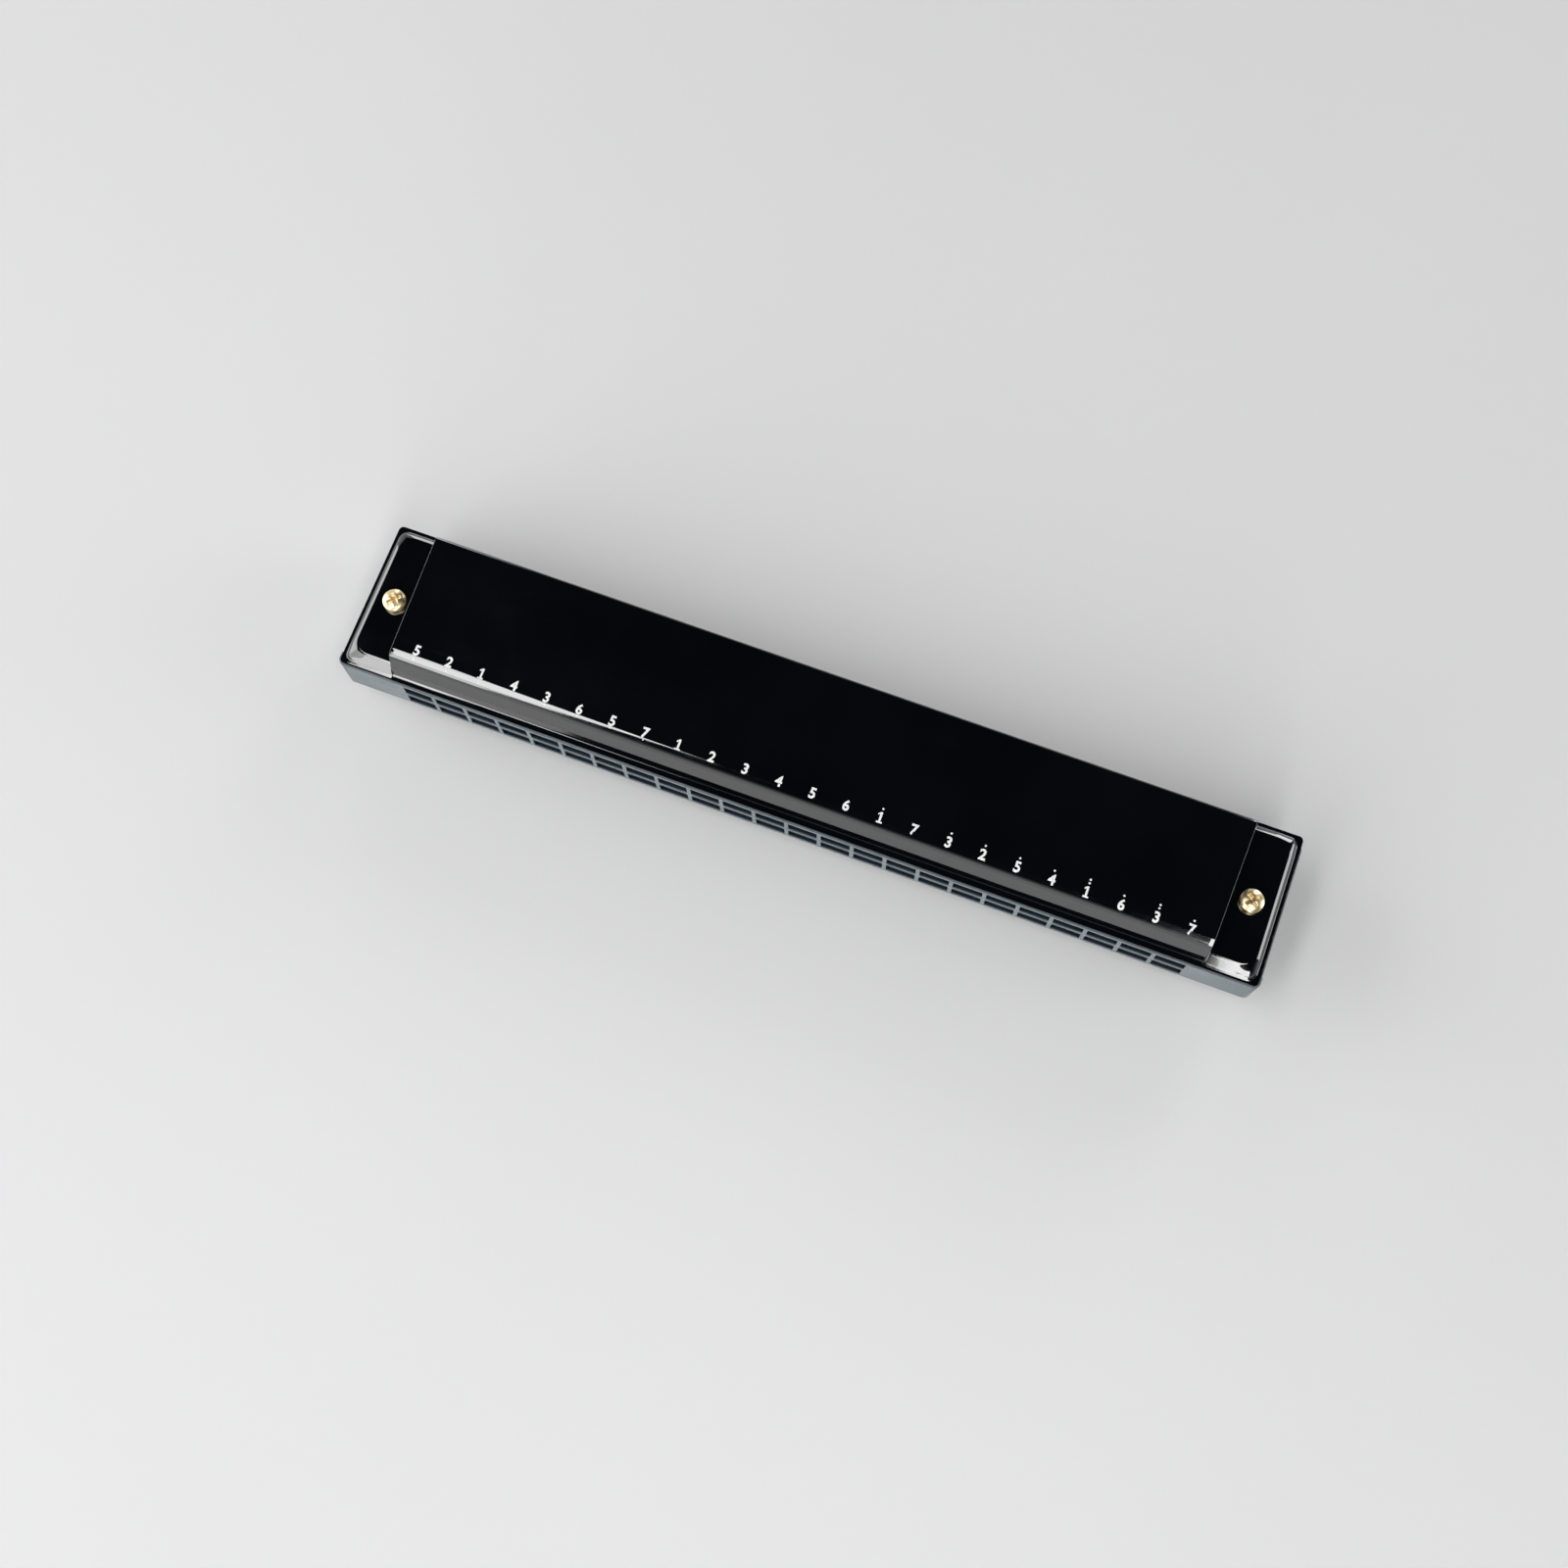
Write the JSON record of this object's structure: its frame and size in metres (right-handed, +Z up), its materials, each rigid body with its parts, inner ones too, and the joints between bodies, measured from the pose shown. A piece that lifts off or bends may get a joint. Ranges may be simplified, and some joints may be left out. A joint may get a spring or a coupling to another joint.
{
  "type": "tremolo harmonica",
  "caption": "Tremolo harmonica with black pressed covers, a plastic comb with a double row of holes, brass reed plates, swinging reeds and brass cover screws.",
  "frame": {"origin": "middle of the underside, on the surface that the harmonica rests on", "axes": "+X along the hole rows from the low notes to the high notes, -Y out of the mouth side towards the player, +Z up"},
  "size_m": [0.178, 0.0294, 0.0238],
  "materials": {
    "cover_black": "glossy black baked enamel on pressed steel",
    "comb_plastic": "semi-gloss blue-grey moulded plastic",
    "plate_brass": "rolled brass with fine scratches",
    "reed_brass": "filed and tuned brass",
    "rivet_brass": "bright brass",
    "screw_brass": "bright brass-plated steel"
  },
  "bodies": {
    "harmonica_body": {"comb": "comb_plastic", "upper_reed_plate": "plate_brass", "lower_reed_plate": "plate_brass", "upper_cover": "cover_black", "lower_cover": "cover_black", "upper_reed_feet": "reed_brass", "lower_reed_feet": "reed_brass", "upper_rivets": "rivet_brass", "lower_rivets": "rivet_brass", "plate_pins": "rivet_brass", "cover_screws": "screw_brass", "cover_nuts": "screw_brass"},
    "upper_reed_01": {"upper_reed_01": "reed_brass"},
    "upper_reed_02": {"upper_reed_02": "reed_brass"},
    "upper_reed_03": {"upper_reed_03": "reed_brass"},
    "upper_reed_04": {"upper_reed_04": "reed_brass"},
    "upper_reed_05": {"upper_reed_05": "reed_brass"},
    "upper_reed_06": {"upper_reed_06": "reed_brass"},
    "upper_reed_07": {"upper_reed_07": "reed_brass"},
    "upper_reed_08": {"upper_reed_08": "reed_brass"},
    "upper_reed_09": {"upper_reed_09": "reed_brass"},
    "upper_reed_10": {"upper_reed_10": "reed_brass"},
    "upper_reed_11": {"upper_reed_11": "reed_brass"},
    "upper_reed_12": {"upper_reed_12": "reed_brass"},
    "upper_reed_13": {"upper_reed_13": "reed_brass"},
    "upper_reed_14": {"upper_reed_14": "reed_brass"},
    "upper_reed_15": {"upper_reed_15": "reed_brass"},
    "upper_reed_16": {"upper_reed_16": "reed_brass"},
    "upper_reed_17": {"upper_reed_17": "reed_brass"},
    "upper_reed_18": {"upper_reed_18": "reed_brass"},
    "upper_reed_19": {"upper_reed_19": "reed_brass"},
    "upper_reed_20": {"upper_reed_20": "reed_brass"},
    "upper_reed_21": {"upper_reed_21": "reed_brass"},
    "upper_reed_22": {"upper_reed_22": "reed_brass"},
    "upper_reed_23": {"upper_reed_23": "reed_brass"},
    "upper_reed_24": {"upper_reed_24": "reed_brass"},
    "lower_reed_01": {"lower_reed_01": "reed_brass"},
    "lower_reed_02": {"lower_reed_02": "reed_brass"},
    "lower_reed_03": {"lower_reed_03": "reed_brass"},
    "lower_reed_04": {"lower_reed_04": "reed_brass"},
    "lower_reed_05": {"lower_reed_05": "reed_brass"},
    "lower_reed_06": {"lower_reed_06": "reed_brass"},
    "lower_reed_07": {"lower_reed_07": "reed_brass"},
    "lower_reed_08": {"lower_reed_08": "reed_brass"},
    "lower_reed_09": {"lower_reed_09": "reed_brass"},
    "lower_reed_10": {"lower_reed_10": "reed_brass"},
    "lower_reed_11": {"lower_reed_11": "reed_brass"},
    "lower_reed_12": {"lower_reed_12": "reed_brass"},
    "lower_reed_13": {"lower_reed_13": "reed_brass"},
    "lower_reed_14": {"lower_reed_14": "reed_brass"},
    "lower_reed_15": {"lower_reed_15": "reed_brass"},
    "lower_reed_16": {"lower_reed_16": "reed_brass"},
    "lower_reed_17": {"lower_reed_17": "reed_brass"},
    "lower_reed_18": {"lower_reed_18": "reed_brass"},
    "lower_reed_19": {"lower_reed_19": "reed_brass"},
    "lower_reed_20": {"lower_reed_20": "reed_brass"},
    "lower_reed_21": {"lower_reed_21": "reed_brass"},
    "lower_reed_22": {"lower_reed_22": "reed_brass"},
    "lower_reed_23": {"lower_reed_23": "reed_brass"},
    "lower_reed_24": {"lower_reed_24": "reed_brass"}
  },
  "joints": [
    {"name": "upper_reed_01_bend", "type": "hinge", "parent": "harmonica_body", "child": "upper_reed_01", "pos_m": [-0.07303, -0.00775, 0.01553], "axis": [1, 0, 0], "range_deg": [-3.5, 3.5], "stiffness_Nm_per_rad": 0.0984},
    {"name": "upper_reed_02_bend", "type": "hinge", "parent": "harmonica_body", "child": "upper_reed_02", "pos_m": [-0.06667, 0.00635, 0.01688], "axis": [-1, 0, 0], "range_deg": [-3.5, 3.5], "stiffness_Nm_per_rad": 0.1004},
    {"name": "upper_reed_03_bend", "type": "hinge", "parent": "harmonica_body", "child": "upper_reed_03", "pos_m": [-0.06032, -0.00775, 0.01553], "axis": [1, 0, 0], "range_deg": [-3.5, 3.5], "stiffness_Nm_per_rad": 0.1026},
    {"name": "upper_reed_04_bend", "type": "hinge", "parent": "harmonica_body", "child": "upper_reed_04", "pos_m": [-0.05398, 0.00635, 0.01688], "axis": [-1, 0, 0], "range_deg": [-3.5, 3.5], "stiffness_Nm_per_rad": 0.1046},
    {"name": "upper_reed_05_bend", "type": "hinge", "parent": "harmonica_body", "child": "upper_reed_05", "pos_m": [-0.04763, -0.00775, 0.01553], "axis": [1, 0, 0], "range_deg": [-3.5, 3.5], "stiffness_Nm_per_rad": 0.107},
    {"name": "upper_reed_06_bend", "type": "hinge", "parent": "harmonica_body", "child": "upper_reed_06", "pos_m": [-0.04127, 0.00635, 0.01688], "axis": [-1, 0, 0], "range_deg": [-3.5, 3.5], "stiffness_Nm_per_rad": 0.1092},
    {"name": "upper_reed_07_bend", "type": "hinge", "parent": "harmonica_body", "child": "upper_reed_07", "pos_m": [-0.03492, -0.00775, 0.01553], "axis": [1, 0, 0], "range_deg": [-3.5, 3.5], "stiffness_Nm_per_rad": 0.1118},
    {"name": "upper_reed_08_bend", "type": "hinge", "parent": "harmonica_body", "child": "upper_reed_08", "pos_m": [-0.02857, 0.00635, 0.01688], "axis": [-1, 0, 0], "range_deg": [-3.5, 3.5], "stiffness_Nm_per_rad": 0.1144},
    {"name": "upper_reed_09_bend", "type": "hinge", "parent": "harmonica_body", "child": "upper_reed_09", "pos_m": [-0.02223, -0.00775, 0.01553], "axis": [1, 0, 0], "range_deg": [-3.5, 3.5], "stiffness_Nm_per_rad": 0.117},
    {"name": "upper_reed_10_bend", "type": "hinge", "parent": "harmonica_body", "child": "upper_reed_10", "pos_m": [-0.01588, 0.00635, 0.01688], "axis": [-1, 0, 0], "range_deg": [-3.5, 3.5], "stiffness_Nm_per_rad": 0.1198},
    {"name": "upper_reed_11_bend", "type": "hinge", "parent": "harmonica_body", "child": "upper_reed_11", "pos_m": [-0.00953, -0.00775, 0.01553], "axis": [1, 0, 0], "range_deg": [-3.5, 3.5], "stiffness_Nm_per_rad": 0.1228},
    {"name": "upper_reed_12_bend", "type": "hinge", "parent": "harmonica_body", "child": "upper_reed_12", "pos_m": [-0.00317, 0.00635, 0.01688], "axis": [-1, 0, 0], "range_deg": [-3.5, 3.5], "stiffness_Nm_per_rad": 0.126},
    {"name": "upper_reed_13_bend", "type": "hinge", "parent": "harmonica_body", "child": "upper_reed_13", "pos_m": [0.00317, -0.00775, 0.01553], "axis": [1, 0, 0], "range_deg": [-3.5, 3.5], "stiffness_Nm_per_rad": 0.1292},
    {"name": "upper_reed_14_bend", "type": "hinge", "parent": "harmonica_body", "child": "upper_reed_14", "pos_m": [0.00953, 0.00635, 0.01688], "axis": [-1, 0, 0], "range_deg": [-3.5, 3.5], "stiffness_Nm_per_rad": 0.1328},
    {"name": "upper_reed_15_bend", "type": "hinge", "parent": "harmonica_body", "child": "upper_reed_15", "pos_m": [0.01588, -0.00775, 0.01553], "axis": [1, 0, 0], "range_deg": [-3.5, 3.5], "stiffness_Nm_per_rad": 0.1364},
    {"name": "upper_reed_16_bend", "type": "hinge", "parent": "harmonica_body", "child": "upper_reed_16", "pos_m": [0.02223, 0.00635, 0.01688], "axis": [-1, 0, 0], "range_deg": [-3.5, 3.5], "stiffness_Nm_per_rad": 0.1402},
    {"name": "upper_reed_17_bend", "type": "hinge", "parent": "harmonica_body", "child": "upper_reed_17", "pos_m": [0.02857, -0.00775, 0.01553], "axis": [1, 0, 0], "range_deg": [-3.5, 3.5], "stiffness_Nm_per_rad": 0.1444},
    {"name": "upper_reed_18_bend", "type": "hinge", "parent": "harmonica_body", "child": "upper_reed_18", "pos_m": [0.03492, 0.00635, 0.01688], "axis": [-1, 0, 0], "range_deg": [-3.5, 3.5], "stiffness_Nm_per_rad": 0.1486},
    {"name": "upper_reed_19_bend", "type": "hinge", "parent": "harmonica_body", "child": "upper_reed_19", "pos_m": [0.04127, -0.00775, 0.01553], "axis": [1, 0, 0], "range_deg": [-3.5, 3.5], "stiffness_Nm_per_rad": 0.1532},
    {"name": "upper_reed_20_bend", "type": "hinge", "parent": "harmonica_body", "child": "upper_reed_20", "pos_m": [0.04763, 0.00635, 0.01688], "axis": [-1, 0, 0], "range_deg": [-3.5, 3.5], "stiffness_Nm_per_rad": 0.1582},
    {"name": "upper_reed_21_bend", "type": "hinge", "parent": "harmonica_body", "child": "upper_reed_21", "pos_m": [0.05398, -0.00775, 0.01553], "axis": [1, 0, 0], "range_deg": [-3.5, 3.5], "stiffness_Nm_per_rad": 0.1634},
    {"name": "upper_reed_22_bend", "type": "hinge", "parent": "harmonica_body", "child": "upper_reed_22", "pos_m": [0.06032, 0.00635, 0.01688], "axis": [-1, 0, 0], "range_deg": [-3.5, 3.5], "stiffness_Nm_per_rad": 0.169},
    {"name": "upper_reed_23_bend", "type": "hinge", "parent": "harmonica_body", "child": "upper_reed_23", "pos_m": [0.06667, -0.00775, 0.01553], "axis": [1, 0, 0], "range_deg": [-3.5, 3.5], "stiffness_Nm_per_rad": 0.175},
    {"name": "upper_reed_24_bend", "type": "hinge", "parent": "harmonica_body", "child": "upper_reed_24", "pos_m": [0.07303, 0.00635, 0.01688], "axis": [-1, 0, 0], "range_deg": [-3.5, 3.5], "stiffness_Nm_per_rad": 0.1814},
    {"name": "lower_reed_01_bend", "type": "hinge", "parent": "harmonica_body", "child": "lower_reed_01", "pos_m": [-0.07303, -0.00775, 0.00827], "axis": [-1, 0, 0], "range_deg": [-3.5, 3.5]},
    {"name": "lower_reed_02_bend", "type": "hinge", "parent": "harmonica_body", "child": "lower_reed_02", "pos_m": [-0.06667, 0.00635, 0.00692], "axis": [1, 0, 0], "range_deg": [-3.5, 3.5]},
    {"name": "lower_reed_03_bend", "type": "hinge", "parent": "harmonica_body", "child": "lower_reed_03", "pos_m": [-0.06032, -0.00775, 0.00827], "axis": [-1, 0, 0], "range_deg": [-3.5, 3.5]},
    {"name": "lower_reed_04_bend", "type": "hinge", "parent": "harmonica_body", "child": "lower_reed_04", "pos_m": [-0.05398, 0.00635, 0.00692], "axis": [1, 0, 0], "range_deg": [-3.5, 3.5]},
    {"name": "lower_reed_05_bend", "type": "hinge", "parent": "harmonica_body", "child": "lower_reed_05", "pos_m": [-0.04763, -0.00775, 0.00827], "axis": [-1, 0, 0], "range_deg": [-3.5, 3.5]},
    {"name": "lower_reed_06_bend", "type": "hinge", "parent": "harmonica_body", "child": "lower_reed_06", "pos_m": [-0.04127, 0.00635, 0.00692], "axis": [1, 0, 0], "range_deg": [-3.5, 3.5]},
    {"name": "lower_reed_07_bend", "type": "hinge", "parent": "harmonica_body", "child": "lower_reed_07", "pos_m": [-0.03492, -0.00775, 0.00827], "axis": [-1, 0, 0], "range_deg": [-3.5, 3.5]},
    {"name": "lower_reed_08_bend", "type": "hinge", "parent": "harmonica_body", "child": "lower_reed_08", "pos_m": [-0.02857, 0.00635, 0.00692], "axis": [1, 0, 0], "range_deg": [-3.5, 3.5]},
    {"name": "lower_reed_09_bend", "type": "hinge", "parent": "harmonica_body", "child": "lower_reed_09", "pos_m": [-0.02223, -0.00775, 0.00827], "axis": [-1, 0, 0], "range_deg": [-3.5, 3.5]},
    {"name": "lower_reed_10_bend", "type": "hinge", "parent": "harmonica_body", "child": "lower_reed_10", "pos_m": [-0.01588, 0.00635, 0.00692], "axis": [1, 0, 0], "range_deg": [-3.5, 3.5]},
    {"name": "lower_reed_11_bend", "type": "hinge", "parent": "harmonica_body", "child": "lower_reed_11", "pos_m": [-0.00953, -0.00775, 0.00827], "axis": [-1, 0, 0], "range_deg": [-3.5, 3.5]},
    {"name": "lower_reed_12_bend", "type": "hinge", "parent": "harmonica_body", "child": "lower_reed_12", "pos_m": [-0.00317, 0.00635, 0.00692], "axis": [1, 0, 0], "range_deg": [-3.5, 3.5]},
    {"name": "lower_reed_13_bend", "type": "hinge", "parent": "harmonica_body", "child": "lower_reed_13", "pos_m": [0.00317, -0.00775, 0.00827], "axis": [-1, 0, 0], "range_deg": [-3.5, 3.5]},
    {"name": "lower_reed_14_bend", "type": "hinge", "parent": "harmonica_body", "child": "lower_reed_14", "pos_m": [0.00953, 0.00635, 0.00692], "axis": [1, 0, 0], "range_deg": [-3.5, 3.5]},
    {"name": "lower_reed_15_bend", "type": "hinge", "parent": "harmonica_body", "child": "lower_reed_15", "pos_m": [0.01588, -0.00775, 0.00827], "axis": [-1, 0, 0], "range_deg": [-3.5, 3.5]},
    {"name": "lower_reed_16_bend", "type": "hinge", "parent": "harmonica_body", "child": "lower_reed_16", "pos_m": [0.02223, 0.00635, 0.00692], "axis": [1, 0, 0], "range_deg": [-3.5, 3.5]},
    {"name": "lower_reed_17_bend", "type": "hinge", "parent": "harmonica_body", "child": "lower_reed_17", "pos_m": [0.02857, -0.00775, 0.00827], "axis": [-1, 0, 0], "range_deg": [-3.5, 3.5]},
    {"name": "lower_reed_18_bend", "type": "hinge", "parent": "harmonica_body", "child": "lower_reed_18", "pos_m": [0.03492, 0.00635, 0.00692], "axis": [1, 0, 0], "range_deg": [-3.5, 3.5]},
    {"name": "lower_reed_19_bend", "type": "hinge", "parent": "harmonica_body", "child": "lower_reed_19", "pos_m": [0.04127, -0.00775, 0.00827], "axis": [-1, 0, 0], "range_deg": [-3.5, 3.5]},
    {"name": "lower_reed_20_bend", "type": "hinge", "parent": "harmonica_body", "child": "lower_reed_20", "pos_m": [0.04763, 0.00635, 0.00692], "axis": [1, 0, 0], "range_deg": [-3.5, 3.5]},
    {"name": "lower_reed_21_bend", "type": "hinge", "parent": "harmonica_body", "child": "lower_reed_21", "pos_m": [0.05398, -0.00775, 0.00827], "axis": [-1, 0, 0], "range_deg": [-3.5, 3.5]},
    {"name": "lower_reed_22_bend", "type": "hinge", "parent": "harmonica_body", "child": "lower_reed_22", "pos_m": [0.06032, 0.00635, 0.00692], "axis": [1, 0, 0], "range_deg": [-3.5, 3.5]},
    {"name": "lower_reed_23_bend", "type": "hinge", "parent": "harmonica_body", "child": "lower_reed_23", "pos_m": [0.06667, -0.00775, 0.00827], "axis": [-1, 0, 0], "range_deg": [-3.5, 3.5]},
    {"name": "lower_reed_24_bend", "type": "hinge", "parent": "harmonica_body", "child": "lower_reed_24", "pos_m": [0.07303, 0.00635, 0.00692], "axis": [1, 0, 0], "range_deg": [-3.5, 3.5]}
  ],
  "couplings": [
    {"joint": "lower_reed_01_bend", "follows": "upper_reed_01_bend", "ratio": 1},
    {"joint": "lower_reed_02_bend", "follows": "upper_reed_02_bend", "ratio": 1},
    {"joint": "lower_reed_03_bend", "follows": "upper_reed_03_bend", "ratio": 1},
    {"joint": "lower_reed_04_bend", "follows": "upper_reed_04_bend", "ratio": 1},
    {"joint": "lower_reed_05_bend", "follows": "upper_reed_05_bend", "ratio": 1},
    {"joint": "lower_reed_06_bend", "follows": "upper_reed_06_bend", "ratio": 1},
    {"joint": "lower_reed_07_bend", "follows": "upper_reed_07_bend", "ratio": 1},
    {"joint": "lower_reed_08_bend", "follows": "upper_reed_08_bend", "ratio": 1},
    {"joint": "lower_reed_09_bend", "follows": "upper_reed_09_bend", "ratio": 1},
    {"joint": "lower_reed_10_bend", "follows": "upper_reed_10_bend", "ratio": 1},
    {"joint": "lower_reed_11_bend", "follows": "upper_reed_11_bend", "ratio": 1},
    {"joint": "lower_reed_12_bend", "follows": "upper_reed_12_bend", "ratio": 1},
    {"joint": "lower_reed_13_bend", "follows": "upper_reed_13_bend", "ratio": 1},
    {"joint": "lower_reed_14_bend", "follows": "upper_reed_14_bend", "ratio": 1},
    {"joint": "lower_reed_15_bend", "follows": "upper_reed_15_bend", "ratio": 1},
    {"joint": "lower_reed_16_bend", "follows": "upper_reed_16_bend", "ratio": 1},
    {"joint": "lower_reed_17_bend", "follows": "upper_reed_17_bend", "ratio": 1},
    {"joint": "lower_reed_18_bend", "follows": "upper_reed_18_bend", "ratio": 1},
    {"joint": "lower_reed_19_bend", "follows": "upper_reed_19_bend", "ratio": 1},
    {"joint": "lower_reed_20_bend", "follows": "upper_reed_20_bend", "ratio": 1},
    {"joint": "lower_reed_21_bend", "follows": "upper_reed_21_bend", "ratio": 1},
    {"joint": "lower_reed_22_bend", "follows": "upper_reed_22_bend", "ratio": 1},
    {"joint": "lower_reed_23_bend", "follows": "upper_reed_23_bend", "ratio": 1},
    {"joint": "lower_reed_24_bend", "follows": "upper_reed_24_bend", "ratio": 1}
  ]
}
